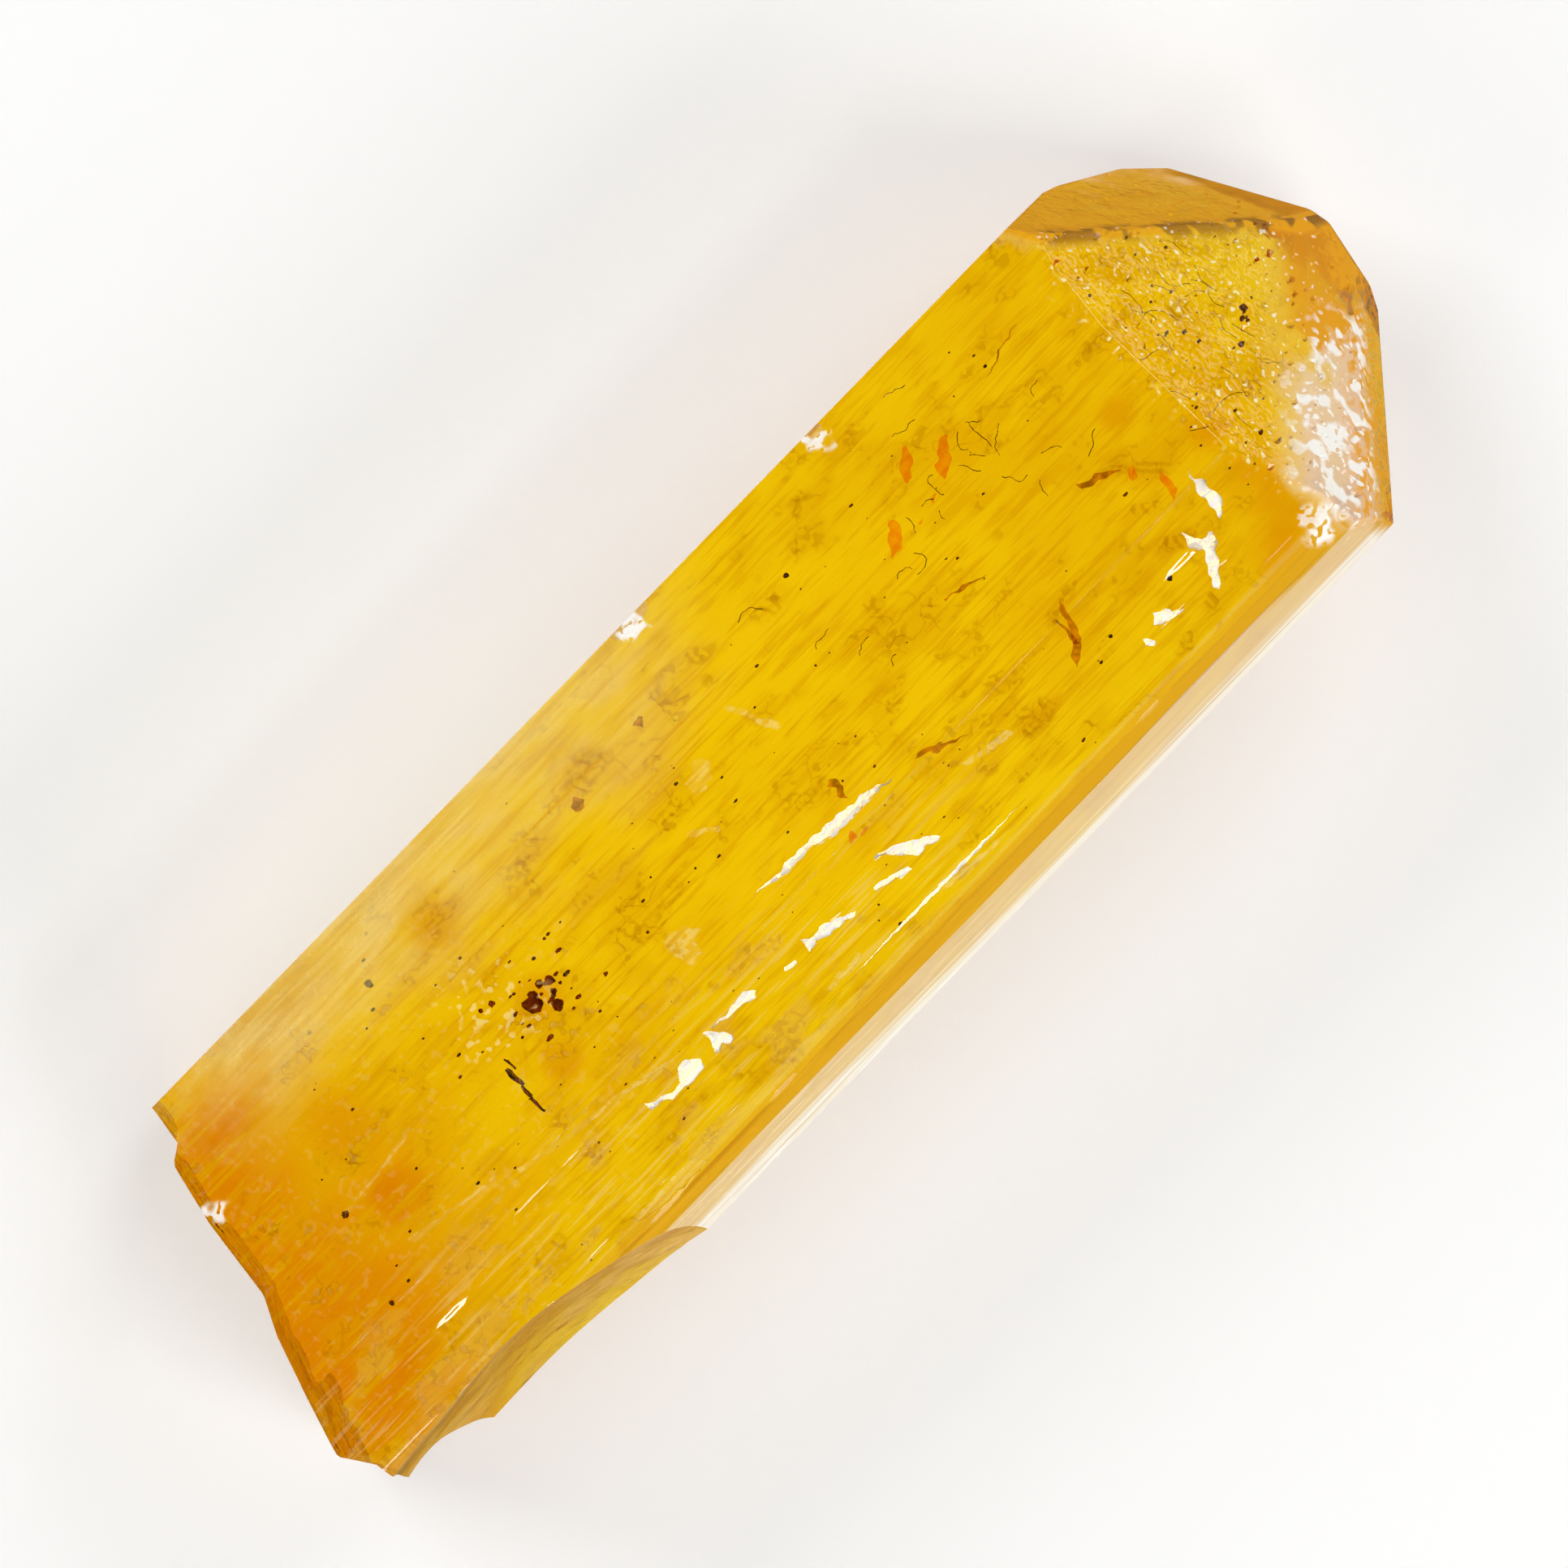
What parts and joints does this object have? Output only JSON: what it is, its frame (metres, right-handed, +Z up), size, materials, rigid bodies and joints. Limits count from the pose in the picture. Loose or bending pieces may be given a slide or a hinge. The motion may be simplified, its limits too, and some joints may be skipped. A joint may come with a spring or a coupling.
{
  "type": "imperial topaz crystal",
  "caption": "Loose golden-orange prismatic topaz crystal with striated faces, a pitted termination and a broken base, lying on a prism face.",
  "frame": {"origin": "on the ground under the middle of the crystal's box", "axes": "+X along the crystal's length (its c axis) towards the termination, +Y towards the side with the gently sloped vicinal faces, +Z up from the prism face it lies on"},
  "size_m": [0.0458, 0.014, 0.0105],
  "materials": {
    "topaz": "glossy, transparent, finely striated along its length, frosted by small pits on the termination"
  },
  "bodies": {
    "root": {"topaz_crystal": "topaz"}
  },
  "joints": []
}
